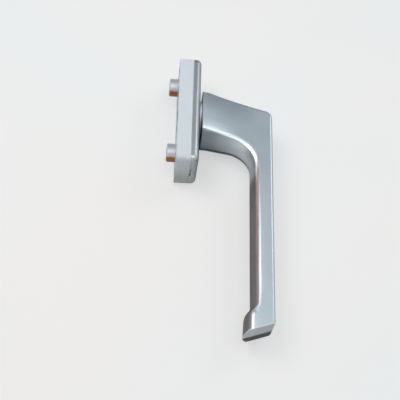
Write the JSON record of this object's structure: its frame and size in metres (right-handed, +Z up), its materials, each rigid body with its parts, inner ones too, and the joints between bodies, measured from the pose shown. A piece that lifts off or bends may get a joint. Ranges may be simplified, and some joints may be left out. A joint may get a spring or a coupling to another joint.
{
  "type": "window handle",
  "caption": "Tilt-and-turn window handle: angular silver lever with a hooked end on an oblong snap-cap rose, with a click mechanism and square spindle socket.",
  "frame": {"origin": "middle of the rose's back face, on the lever's turning axis, half way between the two screw holes", "axes": "+X away from the window along the turning axis, +Z up along the rose with the lever hanging to -Z, Y across the rose"},
  "size_m": [0.0569, 0.028, 0.1579],
  "materials": {
    "base_coat": "light grey matt powder coat on die-cast zinc",
    "cap_coat": "silver anodised, satin",
    "silver_coat": "silver anodised casting, satin",
    "pale_plastic": "pale natural acetal",
    "turned_steel": "turned and zinc plated",
    "zinc_sheet": "pressed sheet, zinc plated",
    "spring_steel": "bright spring steel"
  },
  "bodies": {
    "rose": {"base_plate": "base_coat", "lug_sleeve_upper": "turned_steel", "lug_sleeve_lower": "turned_steel", "cover_cap": "cap_coat", "slide_bush": "pale_plastic", "back_plate": "zinc_sheet", "detent_spring_left": "spring_steel", "detent_spring_right": "spring_steel"},
    "lever": {"lever": "silver_coat", "detent_cam": "zinc_sheet", "thrust_washer": "pale_plastic", "retaining_ring": "spring_steel"}
  },
  "joints": [
    {"name": "lever_turn", "type": "hinge", "parent": "rose", "child": "lever", "pos_m": [0, 0, 0], "axis": [-1, 0, 0], "continuous": true, "deforming": ["detent_spring_left", "detent_spring_right"]}
  ]
}
